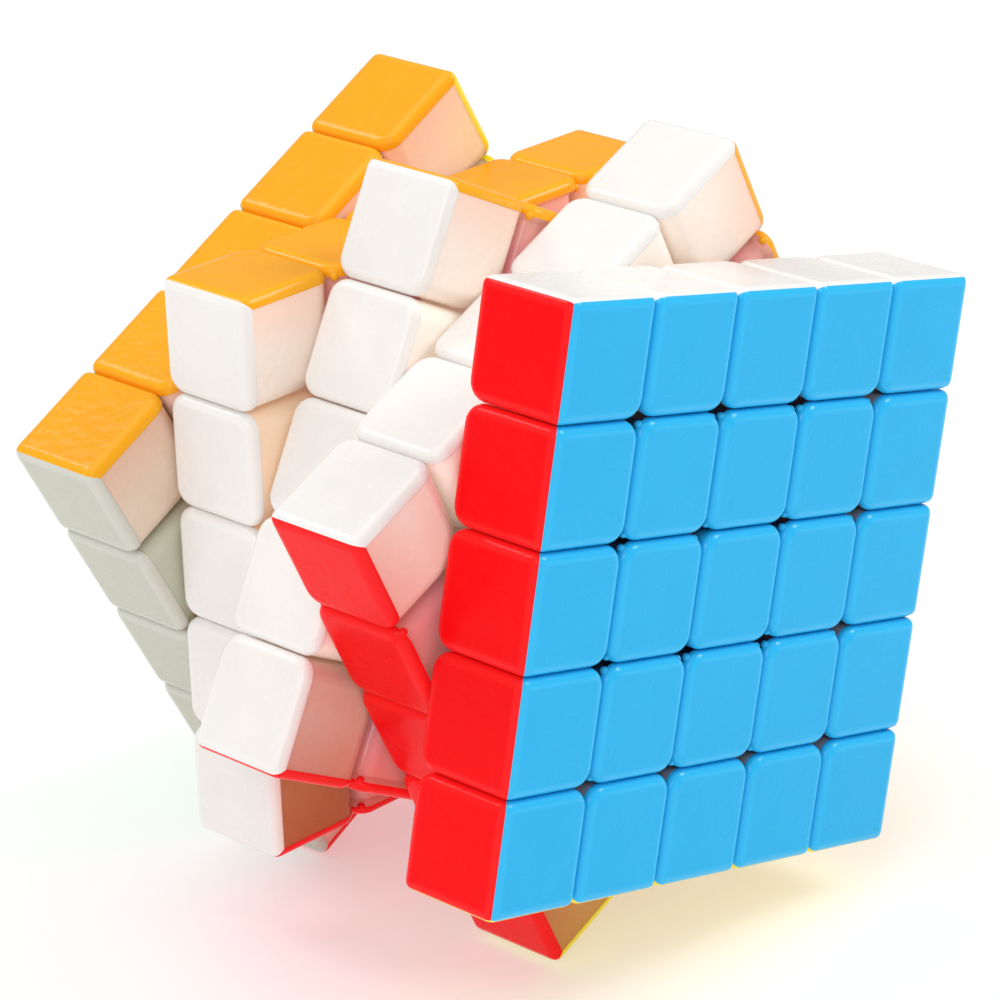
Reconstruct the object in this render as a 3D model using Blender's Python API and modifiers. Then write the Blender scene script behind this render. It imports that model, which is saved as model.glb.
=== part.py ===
"""A five-by-five twisty puzzle cube with its five layers fanned out about one axis.

Metres, +Z up. The origin is the centre of the core, where all the turning axes meet. The fan's axis is the
Y axis: the blue face looks along -Y and the green face along +Y. The cube stands on one corner edge of each
of its second, middle and green layers.

Every piece is modelled in the stack frame: u to the right, v up, w out of the blue face, with the origin at
the core. One empty turns that frame upright, and each layer hangs on an empty of its own, turned about w.
"""

import math

import bmesh
import bpy
from mathutils import Matrix

MM = 0.001

# Driving dimensions of the cube.
PITCH = 12.5 * MM  # one cubie
HALF = 2.5 * PITCH  # core to outer face
GAP = 0.3 * MM  # between neighbouring pieces
RIM = 0.9 * MM  # bevel round a cubie's outer face
CLEAR = GAP / 2
SINK = 0.1 * MM  # keeps the faces of joined shapes off one plane
OVERLAP = 1.0 * MM  # how far a turned shape reaches into the one it is joined to

# How far each layer is turned anticlockwise, seen from the blue side.
LAYER_TURNS = {"blue": -13.0, "second": 25.5, "middle": 63.1, "fourth": 90.4, "green": 118.8}
SIDES = ("white", "red", "yellow", "orange")  # anticlockwise round the fan's axis, from +v

# Planes between the layers, measured from the core.
INNER_CUT = PITCH / 2
OUTER_CUT = 3 * PITCH / 2

# The feet: turned surfaces that hold one layer to the next.
NECK_R = 13.0 * MM  # the blue layer's neck, inside the second layer's lip
FOOT_OUTER_R = 17.1 * MM  # spherical foot, measured from the core
FOOT_INNER_R = 15.2 * MM
FOOT_REACH = math.radians(62)  # from the fan's axis
STEM_HOLE_R = 5.0 * MM
SECOND_NECK_R = 16.2 * MM
SECOND_FOOT_R = 18.0 * MM
SECOND_FOOT_INNER_R = 14.0 * MM
SECOND_FOOT_LOW = 3.6 * MM
SECOND_FOOT_TOP = 4.9 * MM
SECOND_FOOT_ROOT = 6.6 * MM
TURNING_CLEAR = 0.3 * MM

# Webs and tongues that join or hold the cubies of one layer.
WEB_INSET = 3.25 * MM  # from an outer face down to the web between joined cubies
TONGUE_TOP = 21.0 * MM
TONGUE_REACH = 15.5 * MM
TONGUE_WIDTH = 9.5 * MM
TONGUE_HEAD_END = OUTER_CUT - 2.5 * GAP  # the middle edges' tongues have a head and a thinner neck
TONGUE_HEAD_HALF = 3.0 * MM
TONGUE_NECK_START = TONGUE_REACH + 1.5 * MM
TONGUE_NECK_HALF = 1.5 * MM
SEAT = 21.3 * MM  # where a fixed centre rests on its layer

# The six fixed centres, their caps, springs and screws.
CENTRE_TOP = 28.4 * MM
STEM_R = 4.6 * MM
STEM_STEP = 18.6 * MM
STEM_TIP_R = 3.2 * MM
STEM_TIP_TOP = 19.0 * MM
ARM_END = 13.5 * MM
ARM_R = 3.4 * MM
BALL_R = 8.6 * MM
WELL_R = 3.4 * MM
WELL_FLOOR = 19.6 * MM
SHANK_R = 1.2 * MM
PILOT_R = 1.55 * MM
PILOT_END = 6.3 * MM
SCREW_HEAD_R = 2.8 * MM
SCREW_HEAD_LOW = 23.4 * MM
SCREW_HEAD_TOP = 25.1 * MM
SCREW_TIP = 6.9 * MM
SCREW_BEVEL = 0.6 * MM  # round the head, and at the tip
RECESS_HALF = 0.35 * MM  # the cross recess: half a slot's width, its reach from the axis and its depth
RECESS_REACH = 1.7 * MM
RECESS_DEPTH = 1.0 * MM
PLUG_R = 3.05 * MM
PLUG_WALL = 0.65 * MM
PLUG_END = 26.0 * MM
SPRING_R = 2.35 * MM
SPRING_WIRE_R = 0.25 * MM
SPRING_TURNS = 4
SPRING_POINTS_A_TURN = 8

# Fineness of the meshes.
TURN_STEPS = 24
SMALL_STEPS = 12
ARC_STEPS = 3
TURN_MERGE = 0.01 * MM
WELD = 0.001 * MM
SHARP = math.radians(30)

COLOURS = {
    "white": (0.88, 0.88, 0.85),
    "red": (0.85, 0.015, 0.02),
    "yellow": (0.95, 0.80, 0.03),
    "orange": (1.0, 0.42, 0.03),
    "blue": (0.03, 0.44, 0.84),
    "green": (0.03, 0.55, 0.12),
    "pink": (0.85, 0.35, 0.42),
    "steel": (0.62, 0.62, 0.60),
}


def clear_scene():
    for found in list(bpy.data.objects):
        bpy.data.objects.remove(found)


def material(colour):
    made = bpy.data.materials.get(colour)
    if made:
        return made
    made = bpy.data.materials.new(colour)
    made.use_nodes = True
    shader = made.node_tree.nodes["Principled BSDF"]
    shader.inputs["Base Color"].default_value = (*COLOURS[colour], 1)
    shader.inputs["Roughness"].default_value = 0.3
    shader.inputs["Metallic"].default_value = 1.0 if colour == "steel" else 0.0
    return made


# Shapes. Each call makes a scratch object, which combine() or finished() takes up.


def scratch(mesh):
    made = bpy.data.objects.new("scratch", mesh)
    bpy.context.scene.collection.objects.link(made)
    return made


def evaluated_mesh(made):
    """The object's mesh with its modifiers applied, closed up and facing out. The object is removed."""
    bpy.context.view_layer.update()
    graph = bpy.context.evaluated_depsgraph_get()
    mesh = bpy.data.meshes.new_from_object(made.evaluated_get(graph))
    mesh.transform(made.matrix_world)
    bpy.data.objects.remove(made)
    shape = bmesh.new()
    shape.from_mesh(mesh)
    bmesh.ops.remove_doubles(shape, verts=shape.verts, dist=WELD)
    bmesh.ops.recalc_face_normals(shape, faces=shape.faces)
    shape.to_mesh(mesh)
    shape.free()
    return mesh


def outer_faces(edge):
    """How many of the cube's outer faces the edge lies on."""
    ends = [[abs(abs(value) - HALF) < SINK for value in vert.co] for vert in edge.verts]
    return sum(first and second for first, second in zip(*ends))


def box(u, v, w, rim=0.0):
    """A box between the low and high ends of each axis. With a rim, the edges of its outer faces are
    bevelled, but an edge between two outer faces stays square."""
    mesh = bpy.data.meshes.new("box")
    shape = bmesh.new()
    bmesh.ops.create_cube(shape, size=1)
    ends = (u, v, w)
    size = Matrix.Diagonal([high - low for low, high in ends]).to_4x4()
    centre = Matrix.Translation([(low + high) / 2 for low, high in ends])
    bmesh.ops.transform(shape, matrix=centre @ size, verts=shape.verts)
    if rim:
        rims = [edge for edge in shape.edges if outer_faces(edge) == 1]
        bmesh.ops.bevel(shape, geom=rims, offset=rim, segments=1, affect="EDGES")
    shape.to_mesh(mesh)
    shape.free()
    return scratch(mesh)


def turned(profile, steps=TURN_STEPS, closed=False):
    """A turned solid about w. The profile is a list of (radius, height) points, down its outer side."""
    mesh = bpy.data.meshes.new("turned")
    links = [(i, i + 1) for i in range(len(profile) - 1)]
    if closed:
        links.append((len(profile) - 1, 0))
    mesh.from_pydata([(radius, 0, height) for radius, height in profile], links, [])
    made = scratch(mesh)
    screw = made.modifiers.new("turn", "SCREW")
    screw.steps = steps
    screw.render_steps = steps
    screw.use_merge_vertices = True
    screw.merge_threshold = TURN_MERGE
    return scratch(evaluated_mesh(made))


def rod(radius, low, high, steps=SMALL_STEPS):
    return turned([(0, high), (radius, high), (radius, low), (0, low)], steps)


def prism(outline, low, high):
    """A flat outline in u and v, as thick as low to high along w."""
    curve = bpy.data.curves.new("prism", "CURVE")
    curve.dimensions = "2D"
    curve.fill_mode = "BOTH"
    curve.extrude = (high - low) / 2
    spline = curve.splines.new("POLY")
    spline.points.add(len(outline) - 1)
    for point, (u, v) in zip(spline.points, outline):
        point.co = (u, v, 0, 1)
    spline.use_cyclic_u = True
    made = scratch(curve)
    made.location.z = (low + high) / 2
    return scratch(evaluated_mesh(made))


def arc(radius, start, end, steps=ARC_STEPS):
    """Profile points on a sphere about the core; the angles are measured from the fan's axis."""
    angles = [start + (end - start) * i / steps for i in range(steps + 1)]
    return [(radius * math.sin(angle), radius * math.cos(angle)) for angle in angles]


def turned_to(made, matrix):
    made.data.transform(matrix)
    return made


def combine(base, operation, *tools):
    """Joins the tools to base, cuts them from it, or keeps what base shares with them."""
    for tool in tools:
        step = base.modifiers.new("step", "BOOLEAN")
        step.operation = operation
        step.object = tool
        base = scratch(evaluated_mesh(base))
        bpy.data.objects.remove(tool)
    return base


def finished(made, name):
    mesh = evaluated_mesh(made)
    mesh.name = name
    return mesh


def cell(index):
    """The low and high ends of a cubie's cell, flush with the outer faces and clear of its neighbours."""
    low = index * PITCH - PITCH / 2
    high = index * PITCH + PITCH / 2
    return (low if low <= -HALF else low + CLEAR, high if high >= HALF else high - CLEAR)


def cubie(column, row, layer):
    return box(cell(column), cell(row), cell(layer), RIM)


def mirrored(u):
    return (-u[1], -u[0])


# The pieces of an outer layer, modelled on the blue one.


def corner_mesh():
    """The corner between the white and red sides, with the tongue that hooks behind its neighbours."""
    reach = (TONGUE_REACH, TONGUE_REACH + TONGUE_WIDTH)
    tongue = box(mirrored(reach), reach, (OUTER_CUT + CLEAR + SINK, TONGUE_TOP))
    return finished(combine(cubie(-2, 2, 2), "UNION", tongue), "corner")


def outer_edge_mesh():
    """Two wings and the mid edge between them, with pockets for the corners' tongues."""
    end = OUTER_CUT - CLEAR - GAP
    web_side = (OUTER_CUT + GAP, HALF - WEB_INSET)
    web = box((-end, end), web_side, web_side)
    bar = combine(web, "UNION", *[cubie(i, 2, 2) for i in (-1, 0, 1)])
    pocket_u = (TONGUE_REACH - GAP, HALF)
    pocket_v = (INNER_CUT, TONGUE_REACH + TONGUE_WIDTH + GAP)
    pocket_w = (INNER_CUT, TONGUE_TOP + GAP)
    bar = combine(bar, "DIFFERENCE", box(pocket_u, pocket_v, pocket_w))
    bar = combine(bar, "DIFFERENCE", box(mirrored(pocket_u), pocket_v, pocket_w))
    tongue_u = TONGUE_REACH - 2 * GAP
    tongue_v = (TONGUE_REACH, OUTER_CUT + WEB_INSET)
    tongue_w = (OUTER_CUT + CLEAR + SINK, TONGUE_TOP)
    bar = combine(bar, "UNION", box((-tongue_u, tongue_u), tongue_v, tongue_w))
    return finished(bar, "outer_edge")


def centre_ring_mesh():
    """Eight centres round the fixed one, on the neck and foot that hold the layer to the next."""
    end = OUTER_CUT - CLEAR - GAP
    ring = box((-end, end), (-end, end), (SEAT + 2 * SINK, SEAT + WEB_INSET))
    lift = (SEAT + SINK, HALF)
    cells = [(i, j) for i in (-1, 0, 1) for j in (-1, 0, 1) if (i, j) != (0, 0)]
    ring = combine(ring, "UNION", *[box(cell(i), cell(j), lift, RIM) for i, j in cells])
    plate = TONGUE_REACH - GAP
    back = (OUTER_CUT + CLEAR, SEAT + 2 * GAP)
    ring = combine(ring, "UNION", box((-plate, plate), (-plate, plate), back))
    neck_angle = math.asin(NECK_R / FOOT_OUTER_R)
    inner_r = STEM_HOLE_R - OVERLAP
    foot = [(inner_r, OUTER_CUT + OVERLAP), (NECK_R, OUTER_CUT + OVERLAP)]
    foot += arc(FOOT_OUTER_R, neck_angle, FOOT_REACH)
    foot += arc(FOOT_INNER_R, FOOT_REACH, math.asin(inner_r / FOOT_INNER_R))
    ring = combine(ring, "UNION", turned(foot, closed=True))
    well = INNER_CUT + SINK
    ring = combine(ring, "DIFFERENCE", box((-well, well), (-well, well), (SEAT, HALF + PITCH)))
    ring = combine(ring, "DIFFERENCE", rod(STEM_HOLE_R, 0, HALF, TURN_STEPS))
    return finished(ring, "centre_ring")


# The pieces of the inner layers.


def side_sector(top, low, high):
    """The white side's quarter of a square ring, tapering in to the fan's axis."""
    outer = OUTER_CUT - CLEAR
    inner = STEM_HOLE_R + GAP
    slope = CLEAR + SINK
    right = [(outer, top), (outer, outer + slope), (inner, inner + slope)]
    left = [(-u, v) for u, v in reversed(right)]
    return prism(right + left, low, high)


def second_bar_mesh():
    """A wing and three centres of the second layer, with a lip over the blue foot and their own foot."""
    top = OUTER_CUT - CLEAR
    sector = side_sector(OUTER_CUT + 2 * GAP + SINK, SECOND_FOOT_LOW, top - SINK)
    bore_r = NECK_R + TURNING_CLEAR
    bore_ball = FOOT_OUTER_R + TURNING_CLEAR
    bore_low = FOOT_INNER_R / 2
    bore = [(0, OUTER_CUT + PITCH), (bore_r, OUTER_CUT + PITCH)]
    bore += arc(bore_ball, math.asin(bore_r / bore_ball), math.acos(bore_low / bore_ball))
    bore += [(bore[-1][0], SECOND_FOOT_ROOT), (SECOND_FOOT_INNER_R, SECOND_FOOT_ROOT)]
    bore += [(SECOND_FOOT_INNER_R, 0), (0, 0)]
    sector = combine(sector, "DIFFERENCE", turned(bore))
    step = INNER_CUT + CLEAR + SINK
    outside = [(SECOND_NECK_R, step), (2 * HALF, step), (2 * HALF, 0)]
    outside += [(SECOND_FOOT_R, 0), (SECOND_FOOT_R, SECOND_FOOT_TOP), (SECOND_NECK_R, SECOND_FOOT_TOP)]
    sector = combine(sector, "DIFFERENCE", turned(outside, closed=True))
    web_u = (-(HALF - WEB_INSET), OUTER_CUT - CLEAR - GAP)
    web_v = (OUTER_CUT + GAP, HALF - WEB_INSET)
    web_w = (INNER_CUT + CLEAR + GAP, OUTER_CUT - CLEAR - GAP)
    bar = combine(box(web_u, web_v, web_w), "UNION", *[cubie(i, 2, 1) for i in (-2, -1, 0, 1)])
    return finished(combine(bar, "UNION", sector), "second_bar")


def middle_tongue(grow):
    """The stepped tongue behind a middle edge: a neck, and a wider head that hooks inside the layer."""
    head = (TONGUE_REACH - grow, TONGUE_HEAD_END + grow)
    neck = (TONGUE_NECK_START - grow, OUTER_CUT + WEB_INSET)
    head_half = TONGUE_HEAD_HALF + grow
    neck_half = TONGUE_NECK_HALF + grow
    head_box = box(mirrored(head), head, (-head_half, head_half))
    neck_box = box(mirrored(neck), neck, (-neck_half, neck_half))
    return combine(head_box, "UNION", neck_box)


def middle_edge_mesh():
    return finished(combine(cubie(-2, 2, 0), "UNION", middle_tongue(0)), "middle_edge")


def middle_pair_mesh():
    """The two centres beside a fixed centre, joined under it, with lips over both neighbours' feet."""
    half_w = INNER_CUT - CLEAR
    sector = side_sector(OUTER_CUT + GAP, -half_w + SINK, half_w - SINK)
    lip_r = SECOND_NECK_R + TURNING_CLEAR
    lip_w = SECOND_FOOT_TOP + TURNING_CLEAR
    recess_r = SECOND_FOOT_R + TURNING_CLEAR
    bore = [(0, PITCH), (lip_r, PITCH), (lip_r, lip_w), (recess_r, lip_w)]
    bore += [(radius, -height) for radius, height in reversed(bore)]
    sector = combine(sector, "DIFFERENCE", turned(bore))
    end = OUTER_CUT - CLEAR - GAP
    web = box((-end, end), (OUTER_CUT - GAP, SEAT), (-half_w + GAP, half_w - GAP))
    pair = combine(web, "UNION", cubie(-1, 2, 0), cubie(1, 2, 0), sector)
    hole = turned_to(rod(STEM_HOLE_R, 0, HALF, TURN_STEPS), Matrix.Rotation(-math.pi / 2, 4, "X"))
    right_tongue = turned_to(middle_tongue(GAP), Matrix.Rotation(-math.pi / 2, 4, "Z"))
    return finished(combine(pair, "DIFFERENCE", hole, middle_tongue(GAP), right_tongue), "middle_pair")


# The core and what is screwed to it, modelled along +w.


def core_mesh():
    """A ball with six arms, each with a pilot hole for its screw."""
    ball = bpy.data.meshes.new("ball")
    shape = bmesh.new()
    bmesh.ops.create_uvsphere(shape, u_segments=TURN_STEPS, v_segments=TURN_STEPS // 2, radius=BALL_R)
    shape.to_mesh(ball)
    shape.free()
    ways = [Matrix.Rotation(math.pi / 2, 4, axis) for axis in ("X", "Y")]
    ways.append(Matrix.Identity(4))
    arms = [turned_to(rod(ARM_R, -ARM_END, ARM_END), way) for way in ways]
    core = combine(scratch(ball), "UNION", *arms)
    for way in ways:
        for low, high in ((PILOT_END, HALF), (-HALF, -PILOT_END)):
            core = combine(core, "DIFFERENCE", turned_to(rod(PILOT_R, low, high), way))
    return finished(core, "core")


def centre_base_mesh():
    """A fixed centre: a square head on a stepped stem, with a well for the spring and screw head."""
    base = box(cell(0), cell(0), (SEAT + GAP, CENTRE_TOP))
    stem = rod(STEM_R, STEM_STEP, SEAT + OVERLAP)
    tip = rod(STEM_TIP_R, ARM_END + GAP, STEM_TIP_TOP)
    base = combine(base, "UNION", stem, tip)
    well = rod(WELL_R, WELL_FLOOR, HALF)
    return finished(combine(base, "DIFFERENCE", well, rod(PILOT_R, 0, HALF)), "centre_base")


def centre_cap_mesh():
    """The flat tile that snaps on a fixed centre, with a round plug."""
    tile = box(cell(0), cell(0), (CENTRE_TOP + GAP, HALF), RIM)
    top = CENTRE_TOP + GAP + RIM
    inner = PLUG_R - PLUG_WALL
    ring = [(inner, top), (PLUG_R, top), (PLUG_R, PLUG_END), (inner, PLUG_END)]
    return finished(combine(tile, "UNION", turned(ring, SMALL_STEPS, closed=True)), "centre_cap")


def screw_mesh():
    """A pan-head screw with a cross recess."""
    profile = [(0, SCREW_HEAD_TOP), (SCREW_HEAD_R - SCREW_BEVEL, SCREW_HEAD_TOP)]
    profile += [(SCREW_HEAD_R, SCREW_HEAD_TOP - SCREW_BEVEL), (SCREW_HEAD_R, SCREW_HEAD_LOW)]
    profile += [(SHANK_R, SCREW_HEAD_LOW), (SHANK_R, SCREW_TIP + SCREW_BEVEL), (0, SCREW_TIP)]
    along = (-RECESS_REACH, RECESS_REACH)
    across = (-RECESS_HALF, RECESS_HALF)
    depth = (SCREW_HEAD_TOP - RECESS_DEPTH, HALF)
    slots = [box(along, across, depth), box(across, along, depth)]
    return finished(combine(turned(profile, SMALL_STEPS), "DIFFERENCE", *slots), "screw")


def spring_mesh():
    """A compression spring in the well, round the screw."""
    curve = bpy.data.curves.new("spring", "CURVE")
    curve.dimensions = "3D"
    curve.bevel_depth = SPRING_WIRE_R
    curve.bevel_resolution = 0
    curve.use_fill_caps = True
    low = WELL_FLOOR + TURNING_CLEAR + SPRING_WIRE_R
    high = SCREW_HEAD_LOW - TURNING_CLEAR - SPRING_WIRE_R
    count = SPRING_TURNS * SPRING_POINTS_A_TURN
    spline = curve.splines.new("POLY")
    spline.points.add(count)
    for i, point in enumerate(spline.points):
        angle = 2 * math.pi * i / SPRING_POINTS_A_TURN
        height = low + (high - low) * i / count
        point.co = (SPRING_R * math.cos(angle), SPRING_R * math.sin(angle), height, 1)
    return finished(scratch(curve), "spring")


# Placing the pieces.


def empty(name, parent=None, matrix=None):
    made = bpy.data.objects.new(name, None)
    bpy.context.scene.collection.objects.link(made)
    made.parent = parent
    if matrix:
        made.matrix_local = matrix
    return made


def place(collection, name, mesh, colour, parent, matrix):
    """One node: the mesh in a material of its own, hung on its layer's empty."""
    if mesh.users:
        mesh = mesh.copy()
    mesh.materials.clear()
    mesh.materials.append(material(colour))
    mesh.shade_smooth()
    mesh.set_sharp_from_angle(angle=SHARP)
    made = bpy.data.objects.new(name, mesh)
    collection.objects.link(made)
    made.parent = parent
    made.matrix_local = matrix


def side_turn(k):
    return Matrix.Rotation(k * math.pi / 2, 4, "Z")


def main():
    clear_scene()
    shown = bpy.data.collections.new("twisty_puzzle_cube")
    bpy.context.scene.collection.children.link(shown)
    stack = empty("stack", matrix=Matrix.Rotation(math.pi / 2, 4, "X"))
    layers = {
        name: empty(name + "_layer", stack, Matrix.Rotation(math.radians(turn), 4, "Z"))
        for name, turn in LAYER_TURNS.items()
    }
    back_to_front = Matrix.Rotation(math.pi, 4, "Y")

    corner, outer_edge, ring = corner_mesh(), outer_edge_mesh(), centre_ring_mesh()
    for face, flip, corner_step in (("blue", Matrix.Identity(4), 1), ("green", back_to_front, -1)):
        place(shown, face + "_centre_ring", ring, face, layers[face], flip)
        for k, side in enumerate(SIDES):
            where = side_turn(k) @ flip
            beside = SIDES[(k + corner_step) % 4]
            place(shown, f"{face}_corner_{side}_{beside}", corner, side, layers[face], where)
            place(shown, f"{face}_edge_{side}", outer_edge, face, layers[face], where)

    bar = second_bar_mesh()
    for layer, flip in (("second", Matrix.Identity(4)), ("fourth", back_to_front)):
        for k, side in enumerate(SIDES):
            place(shown, f"{layer}_bar_{side}", bar, side, layers[layer], side_turn(k) @ flip)

    edge, pair = middle_edge_mesh(), middle_pair_mesh()
    for k, side in enumerate(SIDES):
        beside = SIDES[(k + 1) % 4]
        place(shown, f"middle_edge_{side}_{beside}", edge, side, layers["middle"], side_turn(k))
        place(shown, f"middle_pair_{side}", pair, side, layers["middle"], side_turn(k))

    place(shown, "core_spider", core_mesh(), "pink", layers["middle"], Matrix.Identity(4))
    out_to_side = Matrix.Rotation(-math.pi / 2, 4, "X")
    axes = {side: ("middle", side_turn(k) @ out_to_side) for k, side in enumerate(SIDES)}
    axes["blue"] = ("blue", Matrix.Identity(4))
    axes["green"] = ("green", back_to_front)
    base, cap, screw, spring = centre_base_mesh(), centre_cap_mesh(), screw_mesh(), spring_mesh()
    for face, (layer, where) in axes.items():
        place(shown, "centre_base_" + face, base, "pink", layers[layer], where)
        place(shown, "centre_cap_" + face, cap, face, layers[layer], where)
        place(shown, "tension_screw_" + face, screw, "steel", layers["middle"], where)
        place(shown, "tension_spring_" + face, spring, "steel", layers["middle"], where)


main()
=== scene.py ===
"""Looks of a five-by-five twisty puzzle cube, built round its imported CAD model.

Every cubie is modelled in a frame of its own, with its origin at the middle of its cell, and set in place
by its layer. The stack frame has u to the right, v up and w out of the blue face. A cell is named by its
column, row and layer, each counted from the middle one, -2 to 2.
"""

import itertools
import math

import bmesh
import bpy
from mathutils import Matrix, Vector


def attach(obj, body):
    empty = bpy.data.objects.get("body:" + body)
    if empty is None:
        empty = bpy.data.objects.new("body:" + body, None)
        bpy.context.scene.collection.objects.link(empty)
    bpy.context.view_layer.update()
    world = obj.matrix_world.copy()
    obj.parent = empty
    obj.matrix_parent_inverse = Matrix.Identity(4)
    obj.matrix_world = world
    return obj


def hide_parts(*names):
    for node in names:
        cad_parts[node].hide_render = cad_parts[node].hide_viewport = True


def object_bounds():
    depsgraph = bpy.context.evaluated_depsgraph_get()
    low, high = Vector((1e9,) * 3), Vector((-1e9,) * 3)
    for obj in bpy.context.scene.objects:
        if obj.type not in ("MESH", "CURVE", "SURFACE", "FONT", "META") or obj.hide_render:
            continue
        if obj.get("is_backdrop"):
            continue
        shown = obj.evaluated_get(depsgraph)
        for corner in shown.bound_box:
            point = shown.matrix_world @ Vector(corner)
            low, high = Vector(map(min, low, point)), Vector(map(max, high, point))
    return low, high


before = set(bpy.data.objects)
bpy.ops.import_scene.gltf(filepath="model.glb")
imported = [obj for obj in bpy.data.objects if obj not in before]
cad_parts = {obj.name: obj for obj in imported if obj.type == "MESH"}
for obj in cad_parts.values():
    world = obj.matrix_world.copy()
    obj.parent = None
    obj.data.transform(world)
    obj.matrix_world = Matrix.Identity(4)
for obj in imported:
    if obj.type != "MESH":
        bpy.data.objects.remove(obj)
cad_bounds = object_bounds()

MM = 0.001
HALF = -cad_bounds[0].y  # core to outer face
CUBIES_ACROSS = 5
OUTER = CUBIES_ACROSS // 2  # index of an outer layer, column or row
PITCH = 2 * HALF / CUBIES_ACROSS
CELL = PITCH / 2  # the middle of a cubie to the side of its cell
CLEAR = 0.05 * MM  # from the side of a cell to its cubie

# Shape of a cubie.
RIM = 1.05 * MM  # fillet round an outer face
PLAN = 2.1 * MM  # corner radius of an outer face, where four cubies meet
BOWL = 3.6 * MM  # fillet round a centre's inner end
ROOT = 4.6 * MM  # fillet along the innermost edge of an edge or wing
SKIRT = 1.2 * MM  # how far a coloured cap reaches down the sides
STEP = 0.07 * MM  # the ledge under a cap
TAB_R = 0.45 * MM  # round clip tabs on the corners of a coloured centre's cap
TAB_REACH = 5.5 * MM  # from the middle of the cap, both ways
TAB_DEPTH = 0.75 * RIM  # of a tab's top under the outer face
BASE_SHARE = 0.984  # width of the base under its cap
PINK_BASE_SHARE = 0.90  # the same, for a centre whose cap is a coloured plate
TILE_FILLET = 0.3 * MM  # under the tile of a fixed centre

# Fineness of the meshes.
ARC_STEPS = 6
TAB_STEPS = 12
TURN_STEPS = 40
ROOT_STEPS = 7
PLAN_STEPS = 5
RIM_STEPS = 4
SWEEP_STEP = math.radians(6)
MERGE = 0.004 * MM
ON_PLANE = 0.002 * MM
FACES_OUT = 0.99  # a normal's share along an outer axis
FACES_IN = -0.5
SHARP = math.radians(30)  # edges that turn by less are part of a curve
CREASE = math.radians(38)  # edges that turn by more are shaded sharp

# Feet, as in the CAD model: radii from the stack's axis, w, and heights along it.
NECK_R = 13.0 * MM
FOOT_OUTER_R = 17.1 * MM
FOOT_INNER_R = 15.2 * MM
FOOT_REACH = math.radians(62)
FOOT_HOLE_R = 5.0 * MM
OVERLAP = 1.0 * MM
TURNING_CLEAR = 0.3 * MM
LIP_R = 18.4 * MM
LIP_WALL = 0.6 * MM
SECOND_FOOT_R = 18.0 * MM
SECOND_FOOT_INNER_R = 14.0 * MM
SECOND_NECK_R = 16.2 * MM
SECOND_FOOT_LOW = 3.6 * MM
SECOND_FOOT_TOP = 4.9 * MM
SECOND_FOOT_ROOT = 6.6 * MM
SLICE_GAP = math.radians(1)  # between the slices of a foot
BAR_SLICE = math.radians(22.5)
CORNER_SLICE = math.radians(13)
MIDDLE_SLICE = math.radians(19)
MIDDLE_SLICE_OFFSET = math.radians(17)  # from a corner's slice to the ones beside it

# Stalks, from a cubie to its slice of foot: half widths at both ends, and heights over the layer's inside.
OUTER_STALK_WIDE = 1.6 * MM
OUTER_STALK_NARROW = 1.2 * MM
OUTER_STALK_START = 2.4 * MM
OUTER_STALK_END = 1.5 * MM
OUTER_STALK_REACH = 0.8 * NECK_R
INNER_STALK_WIDE = 2.4 * MM
INNER_STALK_NARROW = 1.5 * MM
STALK_CORNER_SHARE = 0.45
WING_STALK_SHARE = 0.8  # of half a cell, inwards from the middle of the cubie

# Fixed centres: heights measured from the core.
SEAT = 21.6 * MM
CENTRE_TOP = 28.4 * MM
CAP_UNDER = 28.7 * MM
STEM_R = 4.6 * MM
STEM_STEP = 18.6 * MM
STEM_TIP_R = 3.2 * MM
STEM_END = 13.8 * MM
WELL_R = 3.4 * MM
WELL_FLOOR = 19.6 * MM
PILOT_R = 1.55 * MM
PLUG_R = 3.05 * MM
PLUG_WALL = 0.65 * MM
PLUG_END = 26.0 * MM
PLUG_LEAD = 0.2 * MM
SOCKET_RIM = 0.4 * MM
SOCKET_ROOT = 1.2 * MM
STEM_CONE = 0.8 * MM
SCREW_HEAD_R = 2.8 * MM
SCREW_HEAD_LOW = 23.4 * MM
SCREW_HEAD_TOP = 25.1 * MM
SCREW_DOME = 0.7 * MM
SCREW_TIP = 6.9 * MM
RECESS_REACH = 1.5 * MM
RECESS_HALF = 0.32 * MM
RECESS_DEPTH = 0.9 * MM
SHANK_R = 1.2 * MM
THREAD_DEPTH = 0.22 * MM
THREAD_PITCH = 0.8 * MM
THREAD_RINGS_A_TURN = 6
THREAD_POINTS_A_RING = 24
PLAIN_SHANK = 5.0 * MM  # the shank under the head that has no thread
POINT_LENGTH = 0.65 * MM
POINT_SHARE = 0.35  # the shank's width at its tip
SHANK_LAP = 0.2 * MM  # how far the shank reaches into the head
SPRING_R = 2.35 * MM
SPRING_WIRE_R = 0.25 * MM
SPRING_TURNS = 4
SPRING_POINTS_A_TURN = 24
SPRING_WIRE_STEPS = 3
SPRING_CLEAR = 0.3 * MM

SIDES = ("white", "red", "yellow", "orange")  # anticlockwise round w, from +v
FACE_WAYS = {
    "white": (0, 1, 0),
    "red": (-1, 0, 0),
    "yellow": (0, -1, 0),
    "orange": (1, 0, 0),
    "blue": (0, 0, 1),
    "green": (0, 0, -1),
}
COLOUR_OF_WAY = {way: colour for colour, way in FACE_WAYS.items()}
# Each layer's index, body, and the CAD node with its corner between the white and red sides.
LAYERS = {
    "front": (2, "front_layer", "blue_corner_white_red"),
    "second": (1, "second_layer", "second_bar_white"),
    "middle": (0, "middle_layer", "middle_edge_white_red"),
    "fourth": (-1, "fourth_layer", "fourth_bar_red"),
    "back": (-2, "back_layer", "green_corner_red_white"),
}
WHITE_RED_ANGLE = math.radians(135)  # of that corner in an unturned layer

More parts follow.
